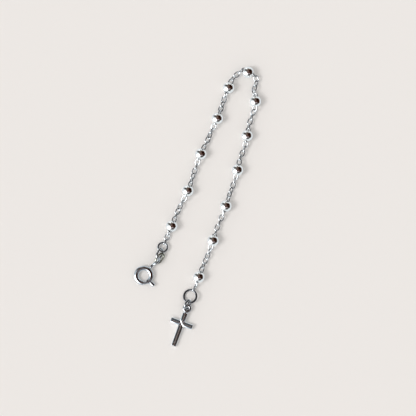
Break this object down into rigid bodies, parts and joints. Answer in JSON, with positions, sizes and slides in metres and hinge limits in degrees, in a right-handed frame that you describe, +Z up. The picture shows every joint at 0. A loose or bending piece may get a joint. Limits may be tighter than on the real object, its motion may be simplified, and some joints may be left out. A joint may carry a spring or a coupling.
{
  "type": "bead chain bracelet with a spring ring clasp and a small cross pendant, laid out open",
  "caption": "Polished silver bracelet of round beads on a fine cable chain, with a spring ring clasp at one end and a plain ring with a small bevelled cross at the other, lying open in a U.",
  "frame": {"origin": "middle of the layout's box, on the surface that the bracelet lies on", "axes": "+Y along the two strands towards the bend, +Z up from the surface, +X from the clasp's strand to the cross's strand"},
  "size_m": [0.0262, 0.1034, 0.004],
  "materials": {
    "beads": "mirror polished sterling silver",
    "chain": "polished sterling silver wire",
    "rings": "polished sterling silver wire",
    "clasp": "polished sterling silver tube",
    "cross": "polished sterling silver with fine scratches"
  },
  "bodies": {
    "bracelet": {"bead_01": "beads", "bead_02": "beads", "bead_03": "beads", "bead_04": "beads", "bead_05": "beads", "bead_06": "beads", "bead_07": "beads", "bead_08": "beads", "bead_09": "beads", "bead_10": "beads", "bead_11": "beads", "bead_12": "beads", "chain_00": "chain", "chain_01": "chain", "chain_02": "chain", "chain_03": "chain", "chain_04": "chain", "chain_05": "chain", "chain_06": "chain", "chain_07": "chain", "chain_08": "chain", "chain_09": "chain", "chain_10": "chain", "chain_11": "chain", "chain_12": "chain", "clasp_jump_ring": "rings", "oval_ring_a": "rings", "oval_ring_b": "rings", "clasp_ring": "clasp", "end_jump_ring": "rings", "cross_jump_ring": "rings", "cross": "cross"},
    "clasp_bolt": {"clasp_bolt": "clasp"}
  },
  "joints": [
    {"name": "bolt_slide_round", "type": "hinge", "parent": "bracelet", "child": "clasp_bolt", "pos_m": [-0.0095, -0.03162, 0.00107], "axis": [-0.0336, -0.0879, 0.9956], "range_deg": [0, 38], "stiffness_Nm_per_rad": 0.0004}
  ]
}
